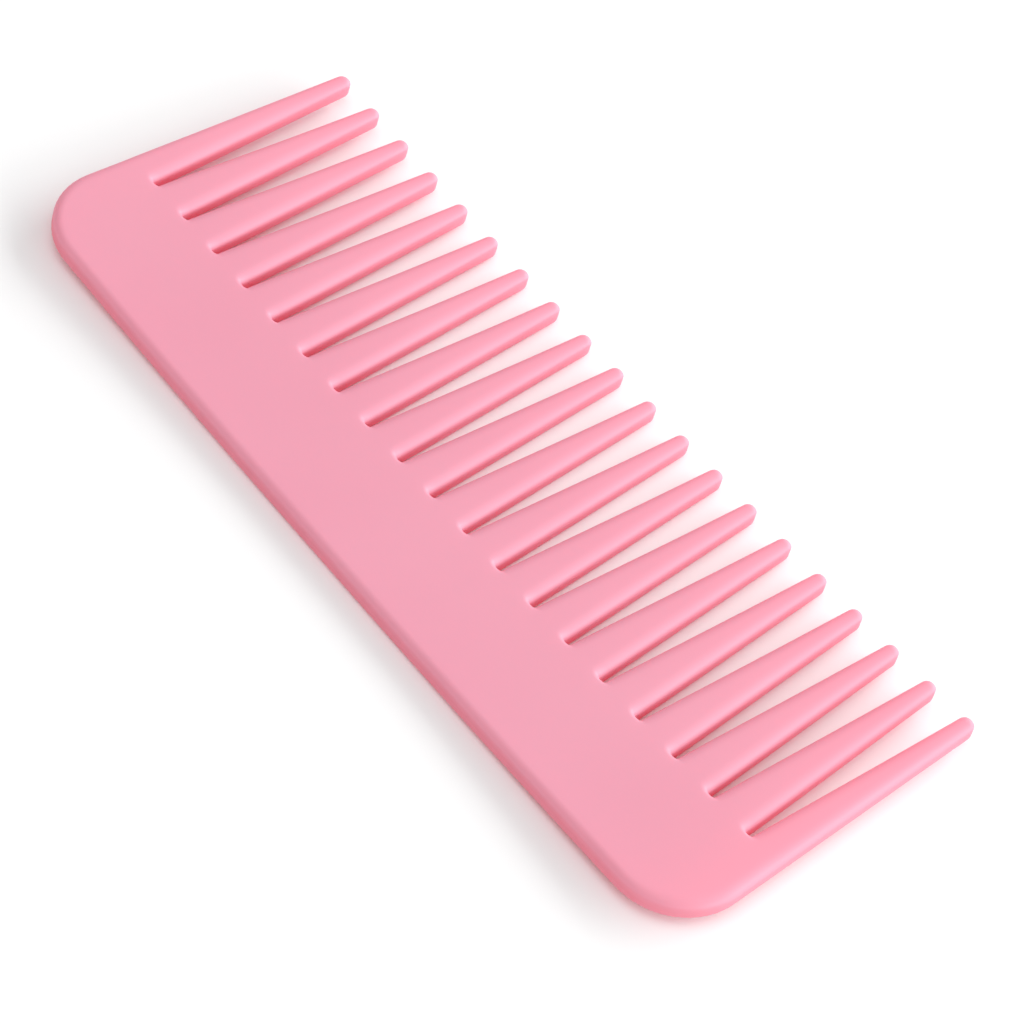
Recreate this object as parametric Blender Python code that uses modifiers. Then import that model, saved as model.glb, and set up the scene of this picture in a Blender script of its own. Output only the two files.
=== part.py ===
"""Wide tooth comb: a flat back with twenty tapered teeth, lying on its broad face.

X runs along the comb, +Y points from the back to the tips of the teeth, and +Z is up. The origin is
below the middle of the comb, on the surface that it lies on. Lengths are in metres.

The comb is very slightly arched along its length: it rests on a flat patch in the middle, and both
ends stand a little off the surface. The helper functions lay the comb out flat, with z = 0 halfway
through its thickness and y = 0 at the roots of the teeth, and arched() then lifts what they make.
"""

import math

import bmesh
import bpy

MM = 0.001

# Driving dimensions of the whole comb
THICKNESS = 3.6 * MM
TOP_EDGE_RADIUS = 1.3 * MM
LOWER_EDGE_RADIUS = 0.8 * MM
ROOT_HALF_LENGTH = 84.4 * MM
END_DRAFT = 0.026
ARCH_RISE = 2.2 * MM

# Teeth
TOOTH_COUNT = 20
TOOTH_PITCH = 8.6 * MM
TOOTH_LENGTH = 45.8 * MM
ROOT_HALF_WIDTH = 3.8 * MM
TIP_HALF_WIDTH = 1.27 * MM
TAPER_REACH = 3.4 * MM
TIP_ROUNDING = 1.6 * MM
TIP_FLAT_SHARE = 0.3
SHAFT_STATIONS = 6
TIP_STATIONS = 3
ARC_STEPS = 3
LEAST_FLAT_SHARE = 0.05

# Back
BACK_DEPTH = 22.2 * MM
CORNER_RADIUS = 12.7 * MM
CORNER_STEPS = 8
BEVEL_SEGMENTS = 4

# Clearance between a tooth's root and the back
SPLIT_GAP = 0.3 * MM

# Satin plastic
PLASTIC_COLOUR = (0.90, 0.33, 0.45, 1.0)
PLASTIC_ROUGHNESS = 0.42
SHARP_ANGLE = math.radians(50)

HALF_THICKNESS = THICKNESS / 2
QUARTER_TURN = math.pi / 2
END_TOOTH_X = (TOOTH_COUNT - 1) / 2 * TOOTH_PITCH
FLAT_HALF_LENGTH = TOOTH_PITCH


def arch(x):
    """The height and the slope angle of the comb's arch at x: level in the middle, then rising."""
    run = max(abs(x) - FLAT_HALF_LENGTH, 0.0)
    full_run = ROOT_HALF_LENGTH - FLAT_HALF_LENGTH
    slope = math.copysign(2 * ARCH_RISE * run / full_run**2, x)
    return ARCH_RISE * (run / full_run) ** 2, math.atan(slope)


def arched(x, y, z):
    """Moves a point of the flat layout to its place on the arched comb."""
    height, angle = arch(x)
    return x - z * math.sin(angle), y, height + z * math.cos(angle)


def end_x(y):
    """Half the comb's length at y: its ends lean in a little towards the tips."""
    return ROOT_HALF_LENGTH - END_DRAFT * y


def clear_scene():
    """Removes whatever the scene holds."""
    for item in list(bpy.data.objects):
        bpy.data.objects.remove(item, do_unlink=True)


def plastic(name):
    """A satin plastic material of the comb's colour."""
    material = bpy.data.materials.new(name)
    material.use_nodes = True
    shader = material.node_tree.nodes["Principled BSDF"]
    shader.inputs["Base Color"].default_value = PLASTIC_COLOUR
    shader.inputs["Roughness"].default_value = PLASTIC_ROUGHNESS
    shader.inputs["Metallic"].default_value = 0.0
    return material


def make_object(name, bm, collection, carrier):
    """Turns a bmesh into a named, smoothly shaded object with its own material."""
    mesh = bpy.data.meshes.new(name)
    bmesh.ops.recalc_face_normals(bm, faces=bm.faces)
    bm.to_mesh(mesh)
    bm.free()
    mesh.shade_smooth()
    mesh.set_sharp_from_angle(angle=SHARP_ANGLE)
    mesh.materials.append(plastic(name + "_plastic"))
    item = bpy.data.objects.new(name, mesh)
    item.parent = carrier
    collection.objects.link(item)
    return item


def corner_arc():
    """The rounded back corner at +X, from the back edge up to the end."""
    lean = math.atan(END_DRAFT)
    centre_y = CORNER_RADIUS - BACK_DEPTH
    centre_x = end_x(centre_y) - CORNER_RADIUS / math.cos(lean)
    points = []
    for step in range(CORNER_STEPS + 1):
        angle = -QUARTER_TURN + (QUARTER_TURN + lean) * step / CORNER_STEPS
        x = centre_x + CORNER_RADIUS * math.cos(angle)
        y = centre_y + CORNER_RADIUS * math.sin(angle)
        points.append((x, y))
    return points


def back_outline():
    """The back seen from above, anticlockwise: a corner at each end, and the root line from +X to -X."""
    right = corner_arc()
    left = [(-x, y) for x, y in reversed(right)]
    return left + right + [(end_x(0), 0.0), (-end_x(0), 0.0)]


def fold_lines():
    """The places along the comb where its arch turns: halfway between teeth, but none across the middle."""
    halfway = [(step - TOOTH_COUNT / 2) * TOOTH_PITCH for step in range(1, TOOTH_COUNT)]
    return [x for x in halfway if abs(x) > FLAT_HALF_LENGTH / 2]


def build_back(collection, carrier):
    """The long flat bar: its outline, extruded to the comb's thickness, arched, with a rounded rim."""
    bm = bmesh.new()
    outline = bm.faces.new([bm.verts.new((x, y, -HALF_THICKNESS)) for x, y in back_outline()])
    extruded = bmesh.ops.extrude_face_region(bm, geom=[outline])
    raised = [item for item in extruded["geom"] if isinstance(item, bmesh.types.BMVert)]
    bmesh.ops.translate(bm, verts=raised, vec=(0, 0, THICKNESS))

    for x in fold_lines():
        everything = bm.verts[:] + bm.edges[:] + bm.faces[:]
        bmesh.ops.bisect_plane(bm, geom=everything, plane_co=(x, 0, 0), plane_no=(1, 0, 0))

    weight = bm.edges.layers.float.new("bevel_weight_edge")
    for edge in bm.edges:
        is_square_corner = edge.calc_face_angle() > SHARP_ANGLE
        is_at_root = all(abs(vert.co.y) < SPLIT_GAP for vert in edge.verts)
        is_upright = abs(edge.verts[0].co.z - edge.verts[1].co.z) > HALF_THICKNESS
        share = 1.0 if edge.verts[0].co.z > 0 else LOWER_EDGE_RADIUS / TOP_EDGE_RADIUS
        edge[weight] = share if is_square_corner and not is_at_root and not is_upright else 0.0
    for vert in bm.verts:
        vert.co = arched(*vert.co)

    item = make_object("back", bm, collection, carrier)
    bevel = item.modifiers.new("rounded_rim", "BEVEL")
    bevel.limit_method = "WEIGHT"
    bevel.width = TOP_EDGE_RADIUS
    bevel.segments = BEVEL_SEGMENTS


def inner_half_width(y):
    """Half a tooth's width at y: parallel by the back, then a smooth turn into a straight taper.

    It is a quadratic Bezier curve whose middle point lies at TAPER_REACH, level with the root.
    """
    spread = TOOTH_LENGTH - 2 * TAPER_REACH
    t = (math.sqrt(TAPER_REACH**2 + spread * y) - TAPER_REACH) / spread
    return ROOT_HALF_WIDTH + (TIP_HALF_WIDTH - ROOT_HALF_WIDTH) * t**2


def outer_half_width(y):
    """The same on the outer side of an end tooth, which carries on the straight end of the back."""
    return end_x(y) - END_TOOTH_X


def tooth_stations():
    """The places along a tooth where its section is drawn, each with the scale that rounds off the tip."""
    shaft_end = TOOTH_LENGTH - TIP_ROUNDING
    shaft_run = shaft_end - SPLIT_GAP
    stations = [(SPLIT_GAP + shaft_run * step / SHAFT_STATIONS, 1.0) for step in range(SHAFT_STATIONS + 1)]
    for step in range(1, TIP_STATIONS + 1):
        angle = QUARTER_TURN * step / TIP_STATIONS
        scale = TIP_FLAT_SHARE + (1 - TIP_FLAT_SHARE) * math.cos(angle)
        stations.append((shaft_end + TIP_ROUNDING * math.sin(angle), scale))
    return stations


def tooth_section(left, right, half_height):
    """The outline of a tooth's cross section: a flat top and underside with rounded flanks."""
    points = []
    for corner, (side_x, side_z) in enumerate([(1, 1), (-1, 1), (-1, -1), (1, -1)]):
        half_width = right if side_x > 0 else left
        full_radius = TOP_EDGE_RADIUS if side_z > 0 else LOWER_EDGE_RADIUS
        radius = min(full_radius, (1 - LEAST_FLAT_SHARE) * min(half_width, half_height))
        centre_x = side_x * (half_width - radius)
        centre_z = side_z * (half_height - radius)
        for step in range(ARC_STEPS + 1):
            angle = QUARTER_TURN * (corner + step / ARC_STEPS)
            points.append((centre_x + radius * math.cos(angle), centre_z + radius * math.sin(angle)))
    return points


def build_tooth(number, collection, carrier):
    """One tooth: sections lofted from its root on the back to its blunt rounded tip."""
    left_profile = outer_half_width if number == 1 else inner_half_width
    right_profile = outer_half_width if number == TOOTH_COUNT else inner_half_width

    bm = bmesh.new()
    rings = []
    for y, scale in tooth_stations():
        section = tooth_section(left_profile(y) * scale, right_profile(y) * scale, HALF_THICKNESS * scale)
        rings.append([bm.verts.new((x, y, z)) for x, z in section])
    for lower, upper in zip(rings, rings[1:]):
        for index in range(len(lower)):
            bm.faces.new([lower[index - 1], lower[index], upper[index], upper[index - 1]])
    bm.faces.new(rings[0])
    bm.faces.new(rings[-1])

    item = make_object(f"tooth_{number:02d}", bm, collection, carrier)
    tooth_x = (number - 1) * TOOTH_PITCH - END_TOOTH_X
    height, angle = arch(tooth_x)
    item.location = (tooth_x, 0, height)
    item.rotation_euler = (0, -angle, 0)


def main():
    """Builds the comb: its back and its teeth, all carried by one empty at the middle of its thickness."""
    clear_scene()
    collection = bpy.data.collections.new("wide_tooth_comb")
    bpy.context.scene.collection.children.link(collection)

    carrier = bpy.data.objects.new("comb_carrier", None)
    carrier.location = (0, (BACK_DEPTH - TOOTH_LENGTH) / 2, HALF_THICKNESS)
    collection.objects.link(carrier)

    build_back(collection, carrier)
    for number in range(1, TOOTH_COUNT + 1):
        build_tooth(number, collection, carrier)


main()
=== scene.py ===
"""The wide tooth comb in a pale studio: one satin plastic moulding that stands for the CAD's back and teeth.

The helper functions lay the comb out flat, with z = 0 halfway through its thickness and y = 0 at the roots
of its teeth, as the CAD does. placed() then arches it and sets it down where the CAD has it.
"""

import math

import bmesh
import bpy
from mathutils import Matrix, Vector


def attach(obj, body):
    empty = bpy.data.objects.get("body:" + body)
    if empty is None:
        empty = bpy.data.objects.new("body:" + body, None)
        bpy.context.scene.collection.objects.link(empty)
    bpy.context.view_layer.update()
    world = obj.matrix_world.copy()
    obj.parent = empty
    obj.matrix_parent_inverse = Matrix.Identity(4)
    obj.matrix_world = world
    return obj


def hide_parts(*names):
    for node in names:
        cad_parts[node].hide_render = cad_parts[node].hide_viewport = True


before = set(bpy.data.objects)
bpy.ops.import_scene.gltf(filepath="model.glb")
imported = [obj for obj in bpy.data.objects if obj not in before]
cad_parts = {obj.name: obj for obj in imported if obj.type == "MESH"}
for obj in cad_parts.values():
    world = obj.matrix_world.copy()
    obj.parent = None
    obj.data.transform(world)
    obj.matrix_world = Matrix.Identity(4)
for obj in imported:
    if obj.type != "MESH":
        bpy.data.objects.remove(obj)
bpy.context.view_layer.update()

MM = 0.001
QUARTER_TURN = math.pi / 2

# The comb, as in the CAD
HALF_THICKNESS = 1.8 * MM
ROOT_HALF_LENGTH = 84.4 * MM
END_DRAFT = 0.026
ARCH_RISE = 2.2 * MM
TOOTH_COUNT = 20
TOOTH_PITCH = 8.6 * MM
TOOTH_LENGTH = 45.8 * MM
ROOT_HALF_WIDTH = 3.8 * MM
TIP_HALF_WIDTH = 1.27 * MM
TAPER_REACH = 3.4 * MM
BACK_DEPTH = 22.2 * MM
CORNER_RADIUS = 12.7 * MM
END_LEAN = math.atan(END_DRAFT)
CORNER_CENTRE_Y = CORNER_RADIUS - BACK_DEPTH
CORNER_CENTRE_X = ROOT_HALF_LENGTH - END_DRAFT * CORNER_CENTRE_Y - CORNER_RADIUS / math.cos(END_LEAN)
HALF_CORNER = QUARTER_TURN / 2
END_TOOTH_X = (TOOTH_COUNT - 1) / 2 * TOOTH_PITCH
FLAT_HALF_LENGTH = TOOTH_PITCH

# Rounding of the top edges: how far it reaches in from the outline, at most MOST_OF_WIDTH of a narrow
# tooth's half width, and RISE_RATIO, its height against that reach. UNDER_ROUNDING is the underside's.
FLANK_ROUNDING = 2.1 * MM
BACK_ROUNDING = 1.5 * MM
SLOT_END_ROUNDING = 1.0 * MM
END_ROUNDING = 2.1 * MM
MOST_OF_WIDTH = 0.93
BLEND_POWER = 6
RISE_RATIO = 0.75
ROUNDING_SOFTNESS = 0.85
RIM_STEPS = 8
UNDER_ROUNDING = 0.8 * MM

# Teeth and the gaps' inner ends
SLOT_CORNER = 0.45 * MM
ROOT_Y = 0.15 * MM
TIP_REACH = 1.7 * MM
TIP_POWER = 0.85
SHAFT_STEPS = 24
TIP_STEPS = 8
RUNG_STEPS = 3
SLOT_CORNER_STEPS = 6
SLOT_WALL_STEPS = 2

# Back
SIDE_STEPS = 14

# Plastic: its surface
REFRACTIVE_INDEX = 1.49
PALE_PINK = (0.99, 0.52, 0.67, 1.0)
DEEP_PINK = (0.975, 0.495, 0.645, 1.0)
FLOW_SCALE = 28
DEEP_UP_TO = 0.3
PALE_FROM = 0.7
SPECKLE_SCALE = 900
LEAST_ROUGHNESS = 0.40
MOST_ROUGHNESS = 0.50
GRAIN_SCALE = 3800
GRAIN_HEIGHT = 0.01 * MM
GRAIN_STRENGTH = 0.25

# Plastic: the light that passes through. An upright side lets a larger share of it pass than a broad face.
# That share falls to FACE_SHARE_THROUGH as the surface turns up or down, and stays there once its normal's Z
# is SIDE_UP_TO.
# The larger share at the sides is painted shade: it makes them a deeper, darker pink, standing in for the
# shade in the gaps.
FACE_SHARE_THROUGH = 0.38
SIDE_SHADE_SHARE_THROUGH = 0.48
SIDE_UP_TO = 0.5
LIGHT_THROUGH = (0.99, 0.2, 0.26, 1.0)

# Floor: just below the comb, so that their surfaces don't coincide
FLOOR_GAP = 0.05 * MM
FLOOR_HALF_SIZE = 2.0
FLOOR_COLOUR = (0.93, 0.93, 0.93, 1.0)
FLOOR_ROUGHNESS = 0.9

# Light
LAMP_DISTANCE = 1.3
ROOM_LIGHT = 0.48

# Camera
CAMERA_PLACE = Vector((190.98, -250.43, 366.93)) * MM
CAMERA_AIM = Vector((9.58, -2.52, 3.0)) * MM
CAMERA_ROLL = math.radians(18.08)
CAMERA_LENS = 103.13
CLIP_START = 0.01
CLIP_END = 20.0


def end_x(y):
    """Half the comb's length at y: its ends lean in a little towards the tips."""
    return ROOT_HALF_LENGTH - END_DRAFT * y


def inner_half_width(y):
    """Half a tooth's width at y: parallel by the back, then a smooth turn into a straight taper."""
    spread = TOOTH_LENGTH - 2 * TAPER_REACH
    t = (math.sqrt(TAPER_REACH**2 + spread * y) - TAPER_REACH) / spread
    return ROOT_HALF_WIDTH + (TIP_HALF_WIDTH - ROOT_HALF_WIDTH) * t**2


def half_width(is_outermost, y):
    """The distance from a tooth's middle to its flank; the outermost flanks carry on the comb's ends."""
    return end_x(y) - END_TOOTH_X if is_outermost else inner_half_width(y)


def rounding_on(width, reach):
    """How far the rounding reaches in on a tooth of this half width, never quite to its middle."""
    most = MOST_OF_WIDTH * width
    return (reach**-BLEND_POWER + most**-BLEND_POWER) ** (-1 / BLEND_POWER)


def tooth_x(tooth):
    """The middle of a tooth, counted from 0 at the -X end."""
    return tooth * TOOTH_PITCH - END_TOOTH_X


def flank(tooth, side):
    """A tooth's flank from root to tip: pairs of an outline point and one where the flat face begins."""
    centre = tooth_x(tooth)
    is_outermost = centre * side > END_TOOTH_X - TOOTH_PITCH / 2
    reach = END_ROUNDING if is_outermost else FLANK_ROUNDING
    shaft_end = TOOTH_LENGTH - TIP_REACH
    pairs = []
    for step in range(SHAFT_STEPS + 1):
        y = ROOT_Y + (shaft_end - ROOT_Y) * step / SHAFT_STEPS
        width = half_width(is_outermost, y)
        inner = width - rounding_on(width, reach)
        pairs.append(((centre + side * width, y), (centre + side * inner, y)))
    share = inner / width
    for step in range(1, TIP_STEPS):
        angle = QUARTER_TURN * step / TIP_STEPS
        x = side * width * math.cos(angle) ** TIP_POWER
        y = TIP_REACH * math.sin(angle) ** TIP_POWER
        pairs.append(((centre + x, shaft_end + y), (centre + x * share, shaft_end + y * share)))
    return pairs, ((centre, TOOTH_LENGTH), (centre, shaft_end + TIP_REACH * share))


def slot_end(slot):
    """The inner end of the gap after a tooth, from that tooth's root to the next one's."""
    middle = tooth_x(slot) + TOOTH_PITCH / 2
    half_gap = TOOTH_PITCH / 2 - inner_half_width(ROOT_Y)
    flank_reach = rounding_on(inner_half_width(ROOT_Y), FLANK_ROUNDING)
    turns = [math.pi + QUARTER_TURN * step / SLOT_CORNER_STEPS for step in range(1, SLOT_CORNER_STEPS + 1)]
    corner = half_gap - SLOT_CORNER
    points = [(middle - corner, angle) for angle in turns]
    for step in range(1, SLOT_WALL_STEPS):
        points.append((middle - corner + 2 * corner * step / SLOT_WALL_STEPS, turns[-1]))
    points += [(middle + corner, 3 * math.pi - angle) for angle in reversed(turns)]
    pairs = []
    for x, angle in points:
        across, along = math.cos(angle), math.sin(angle)
        reach = flank_reach + (flank_reach - SLOT_END_ROUNDING) * along
        outline = (x + SLOT_CORNER * across, ROOT_Y + SLOT_CORNER * along)
        inner = (x + (SLOT_CORNER + reach) * across, ROOT_Y + (SLOT_CORNER + reach) * along)
        pairs.append((outline, inner))
    return pairs


def corner_pair(side, angle):
    """A point of a rounded back corner, at an angle from the comb's length: -90 degrees is the back edge."""
    turned = (angle + QUARTER_TURN) / (QUARTER_TURN + END_LEAN)
    reach = BACK_ROUNDING + (END_ROUNDING - BACK_ROUNDING) * turned
    across, along = math.cos(angle), math.sin(angle)

    def at(radius):
        return side * (CORNER_CENTRE_X + radius * across), CORNER_CENTRE_Y + radius * along

    return at(CORNER_RADIUS), at(CORNER_RADIUS - reach)


def end_side(side):
    """The comb's end, from halfway round its back corner up to the outermost tooth's root."""
    turn = HALF_CORNER + END_LEAN
    arc, straight = CORNER_RADIUS * turn, ROOT_Y - CORNER_CENTRE_Y
    pairs = []
    for step in range(SIDE_STEPS):
        run = (arc + straight) * step / SIDE_STEPS
        if run < arc:
            pairs.append(corner_pair(side, turn * run / arc - HALF_CORNER))
        else:
            y = CORNER_CENTRE_Y + run - arc
            pairs.append(((side * end_x(y), y), (side * (end_x(y) - END_ROUNDING), y)))
    return pairs


def back_edge(shares):
    """The back edge with half of each corner, at shares of the way from the middle of the comb to its end."""
    whole = CORNER_CENTRE_X + CORNER_RADIUS * HALF_CORNER
    pairs = []
    for share in shares:
        run = abs(share) * whole
        if run < CORNER_CENTRE_X:
            x = share * whole
            pairs.append(((x, -BACK_DEPTH), (x, BACK_ROUNDING - BACK_DEPTH)))
        else:
            angle = (run - CORNER_CENTRE_X) / CORNER_RADIUS - QUARTER_TURN
            pairs.append(corner_pair(math.copysign(1, share), angle))
    return pairs


def part_way(start, end, share):
    """The point a share of the way from one flat point to another."""
    return start[0] + (end[0] - start[0]) * share, start[1] + (end[1] - start[1]) * share


def rim(bm, outline, inner):
    """The vertices from the underside's flat face, round the edge, to the top's, at one outline point."""
    reach = math.dist(outline, inner)
    rise = min(HALF_THICKNESS, reach * RISE_RATIO)
    half = []
    for step in range(1, RIM_STEPS + 1):
        angle = QUARTER_TURN * step / RIM_STEPS
        share = 1 - math.cos(angle) ** ROUNDING_SOFTNESS
        half.append((*part_way(outline, inner, share), HALF_THICKNESS - rise + rise * math.sin(angle)))
    radius = min(UNDER_ROUNDING, reach / 2)
    under = []
    for step in range(RIM_STEPS):
        angle = QUARTER_TURN * step / (RIM_STEPS - 1)
        share = radius * (1 - math.cos(angle)) / reach
        under.append((*part_way(outline, inner, share), radius - HALF_THICKNESS - radius * math.sin(angle)))
    under.append((*inner, -HALF_THICKNESS))
    return [bm.verts.new(point) for point in under[::-1] + [(*outline, 0.0)] + half]


def between(bm, first, last, steps):
    """The vertices of a straight run, its two ends among them."""
    inside = [bm.verts.new(first.co.lerp(last.co, step / steps)) for step in range(1, steps)]
    return [first, *inside, last]


def strip(bm, first, second):
    """Quads between two rows of vertices."""
    for index in range(len(first) - 1):
        corners = [first[index], first[index + 1], second[index + 1], second[index]]
        bm.faces.new(corners)


def fill_tooth(bm, left, right, apex):
    """The flat face of a tooth, between its two roundings. It gives back the row along the root."""
    rungs = [between(bm, a, b, RUNG_STEPS) for a, b in zip(left, right)]
    for lower, upper in zip(rungs, rungs[1:]):
        strip(bm, lower, upper)
    for index in range(RUNG_STEPS):
        bm.faces.new([rungs[-1][index], rungs[-1][index + 1], apex])
    return rungs[0]


def fill_back(bm, top, bottom, left, right):
    """The flat face of the back: a grid between its four sides, each given from the left or the bottom up."""
    rows = [bottom]
    columns = len(top) - 1
    for step in range(1, len(left) - 1):
        v = step / (len(left) - 1)
        row = [left[step]]
        for index in range(1, columns):
            u = index / columns
            across = left[step].co.lerp(right[step].co, u)
            along = bottom[index].co.lerp(top[index].co, v)
            low = bottom[0].co.lerp(bottom[-1].co, u)
            high = top[0].co.lerp(top[-1].co, u)
            row.append(bm.verts.new(across + along - low.lerp(high, v)))
        rows.append(row + [right[step]])
    rows.append(top)
    for lower, upper in zip(rows, rows[1:]):
        strip(bm, lower, upper)


def placed(point):
    """Arches a point of the flat layout and moves it to the CAD's place: resting on z = 0."""
    run = max(abs(point.x) - FLAT_HALF_LENGTH, 0.0)
    full_run = ROOT_HALF_LENGTH - FLAT_HALF_LENGTH
    angle = math.atan(math.copysign(2 * ARCH_RISE * run / full_run**2, point.x))
    height = ARCH_RISE * (run / full_run) ** 2 + HALF_THICKNESS
    y = point.y + (BACK_DEPTH - TOOTH_LENGTH) / 2
    return Vector((point.x - point.z * math.sin(angle), y, height + point.z * math.cos(angle)))


def build_comb():
    """The whole moulding as one closed mesh: a rim all along the outline, then the two flat faces."""
    bm = bmesh.new()

    def rims(pairs):
        return [rim(bm, outline, inner) for outline, inner in pairs]

    left_flanks, right_flanks, apexes, slots = [], [], [], []
    for tooth in range(TOOTH_COUNT):
        pairs, apex = flank(tooth, -1)
        left_flanks.append(rims(pairs))
        right_flanks.append(rims(flank(tooth, 1)[0]))
        apexes.append(rim(bm, *apex))
    for slot in range(TOOTH_COUNT - 1):
        slots.append(rims(slot_end(slot)))
    left_side, right_side = rims(end_side(-1)), rims(end_side(1))

    root_rows = {}
    for face in (0, -1):
        row = []
        for tooth in range(TOOTH_COUNT):
            left = [ring[face] for ring in left_flanks[tooth]]
            right = [ring[face] for ring in right_flanks[tooth]]
            row += fill_tooth(bm, left, right, apexes[tooth][face])
            if tooth < TOOTH_COUNT - 1:
                row += [ring[face] for ring in slots[tooth]]
        root_rows[face] = row

    widest = root_rows[0][-1].co.x
    edge = rims(back_edge([vert.co.x / widest for vert in root_rows[0][1:-1]]))
    for face, top in root_rows.items():
        left = [ring[face] for ring in left_side] + [top[0]]
        right = [ring[face] for ring in right_side] + [top[-1]]
        bottom = [left[0], *[ring[face] for ring in edge], right[0]]
        fill_back(bm, top, bottom, left, right)

    loop = list(left_side)
    for tooth in range(TOOTH_COUNT):
        loop += left_flanks[tooth] + [apexes[tooth]] + right_flanks[tooth][::-1]
        if tooth < TOOTH_COUNT - 1:
            loop += slots[tooth]
    loop += right_side[::-1] + edge[::-1]
    for ring, following in zip(loop, loop[1:] + loop[:1]):
        strip(bm, ring, following)

    for vert in bm.verts:
        vert.co = placed(vert.co)
    bmesh.ops.recalc_face_normals(bm, faces=bm.faces)
    mesh = bpy.data.meshes.new("comb_moulding")
    bm.to_mesh(mesh)
    bm.free()
    mesh.shade_smooth()
    comb = bpy.data.objects.new("comb_moulding", mesh)
    bpy.context.scene.collection.objects.link(comb)
    return comb


def share_through_with_side_shade(nodes, links, place):
    """The share of the light that passes through: larger at the upright sides than at the broad faces, as
    painted shade that makes the sides a deeper, darker pink.
    """
    parts = nodes.new("ShaderNodeSeparateXYZ")
    links.new(place.outputs["Normal"], parts.inputs["Vector"])
    level = nodes.new("ShaderNodeMath")
    level.operation = "ABSOLUTE"
    links.new(parts.outputs["Z"], level.inputs[0])
    # Painted shade: the upright sides get the larger share, which darkens and deepens their pink.
    share = nodes.new("ShaderNodeMapRange")
    share.inputs["From Max"].default_value = SIDE_UP_TO
    share.inputs["To Min"].default_value = SIDE_SHADE_SHARE_THROUGH
    share.inputs["To Max"].default_value = FACE_SHARE_THROUGH
    links.new(level.outputs["Value"], share.inputs["Value"])
    return share.outputs["Result"]


def noise(nodes, links, place, scale, detail):
    """A noise texture that is fixed to the comb."""
    node = nodes.new("ShaderNodeTexNoise")
    node.inputs["Scale"].default_value = scale
    node.inputs["Detail"].default_value = detail
    links.new(place.outputs["Object"], node.inputs["Vector"])
    return node.outputs["Fac"]


def add_flow(nodes, links, flow, shader):
    """The faint drift of the colour, as the plastic flowed in its mould."""
    colour = nodes.new("ShaderNodeValToRGB")
    deep, pale = colour.color_ramp.elements
    deep.position, deep.color = DEEP_UP_TO, DEEP_PINK
    pale.position, pale.color = PALE_FROM, PALE_PINK
    links.new(flow, colour.inputs["Fac"])
    links.new(colour.outputs["Color"], shader.inputs["Base Color"])


def add_satin(nodes, links, speckle, grain, shader):
    """The satin finish: small changes of roughness, and a very fine moulded grain."""
    rough = nodes.new("ShaderNodeMapRange")
    rough.inputs["To Min"].default_value = LEAST_ROUGHNESS
    rough.inputs["To Max"].default_value = MOST_ROUGHNESS
    links.new(speckle, rough.inputs["Value"])
    links.new(rough.outputs["Result"], shader.inputs["Roughness"])

    bump = nodes.new("ShaderNodeBump")
    bump.inputs["Strength"].default_value = GRAIN_STRENGTH
    bump.inputs["Distance"].default_value = GRAIN_HEIGHT
    links.new(grain, bump.inputs["Height"])
    links.new(bump.outputs["Normal"], shader.inputs["Normal"])


def satin_plastic():
    """Pink satin plastic that lets some light through, more at its upright sides, which paints them darker as
    painted shade.
    """
    material = bpy.data.materials.new("pink_satin_plastic")
    material.use_nodes = True
    nodes, links = material.node_tree.nodes, material.node_tree.links
    place = nodes.new("ShaderNodeTexCoord")
    shader = nodes["Principled BSDF"]
    shader.inputs["IOR"].default_value = REFRACTIVE_INDEX
    flow = noise(nodes, links, place, scale=FLOW_SCALE, detail=3)
    speckle = noise(nodes, links, place, scale=SPECKLE_SCALE, detail=2)
    grain = noise(nodes, links, place, scale=GRAIN_SCALE, detail=2)
    add_flow(nodes, links, flow, shader)
    add_satin(nodes, links, speckle, grain, shader)

    through = nodes.new("ShaderNodeBsdfTranslucent")
    through.inputs["Color"].default_value = LIGHT_THROUGH
    both = nodes.new("ShaderNodeMixShader")
    # The mix share is larger on the upright sides: painted shade there.
    links.new(share_through_with_side_shade(nodes, links, place), both.inputs["Fac"])
    links.new(shader.outputs["BSDF"], both.inputs[1])
    links.new(through.outputs["BSDF"], both.inputs[2])
    links.new(both.outputs["Shader"], nodes["Material Output"].inputs["Surface"])
    return material


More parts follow.
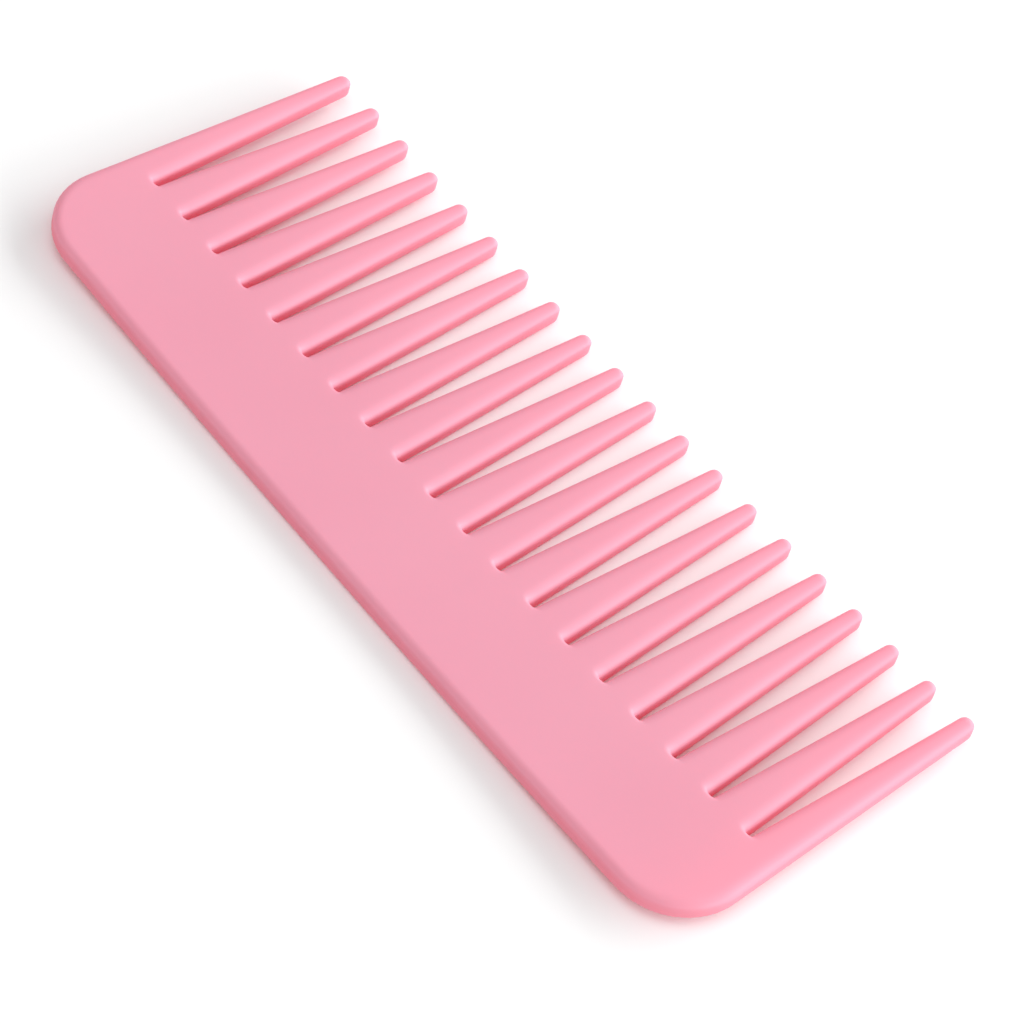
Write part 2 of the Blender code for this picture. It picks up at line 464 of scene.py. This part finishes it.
def studio_floor():
    """A wide pale floor that the comb lies on."""
    bm = bmesh.new()
    bmesh.ops.create_grid(bm, x_segments=4, y_segments=4, size=FLOOR_HALF_SIZE)
    mesh = bpy.data.meshes.new("studio_floor")
    bm.to_mesh(mesh)
    bm.free()
    floor = bpy.data.objects.new("studio_floor", mesh)
    floor.location.z = -FLOOR_GAP
    bpy.context.scene.collection.objects.link(floor)
    material = bpy.data.materials.new("pale_floor")
    material.use_nodes = True
    shader = material.node_tree.nodes["Principled BSDF"]
    shader.inputs["Base Color"].default_value = FLOOR_COLOUR
    shader.inputs["Roughness"].default_value = FLOOR_ROUGHNESS
    shader.inputs["Specular IOR Level"].default_value = 0.0
    mesh.materials.append(material)


def soft_light(name, azimuth, elevation, width, height, power):
    """A large studio lamp that faces the comb. Its two angles are in degrees, azimuth from +X towards +Y."""
    turn, lift = math.radians(azimuth), math.radians(elevation)
    towards = Vector((math.cos(turn) * math.cos(lift), math.sin(turn) * math.cos(lift), math.sin(lift)))
    light = bpy.data.lights.new(name, "AREA")
    light.shape = "RECTANGLE"
    light.size, light.size_y = width, height
    light.energy = power
    lamp = bpy.data.objects.new(name, light)
    lamp.location = towards * LAMP_DISTANCE
    lamp.rotation_mode = "QUATERNION"
    lamp.rotation_quaternion = towards.to_track_quat("Z", "Y")
    bpy.context.scene.collection.objects.link(lamp)


def studio_light():
    """Plain soft light: a pale room, a wide low window beyond the teeth, and two soft lamps."""
    world = bpy.data.worlds.new("pale_room")
    world.use_nodes = True
    world.node_tree.nodes["Background"].inputs["Color"].default_value = (1, 1, 1, 1)
    world.node_tree.nodes["Background"].inputs["Strength"].default_value = ROOM_LIGHT
    bpy.context.scene.world = world
    soft_light("window", azimuth=70, elevation=22, width=2.0, height=0.8, power=22.0)
    soft_light("end_lamp", azimuth=12, elevation=16, width=0.8, height=0.5, power=6.0)
    soft_light("overhead_lamp", azimuth=270, elevation=72, width=1.2, height=1.2, power=6.0)


def camera():
    """The camera: above the +X end on the back's side, turned so that the comb runs down to the right."""
    lens = bpy.data.cameras.new("camera")
    lens.lens = CAMERA_LENS
    lens.clip_start = CLIP_START
    lens.clip_end = CLIP_END
    item = bpy.data.objects.new("camera", lens)
    level = (CAMERA_PLACE - CAMERA_AIM).to_track_quat("Z", "Y").to_matrix().to_4x4()
    item.matrix_world = Matrix.Translation(CAMERA_PLACE) @ level @ Matrix.Rotation(CAMERA_ROLL, 4, "Z")
    bpy.context.scene.collection.objects.link(item)
    bpy.context.scene.camera = item


comb = build_comb()
comb.data.materials.append(satin_plastic())
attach(comb, "root")
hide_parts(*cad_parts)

studio_floor()
studio_light()
camera()
bpy.context.scene.view_settings.view_transform = "Standard"
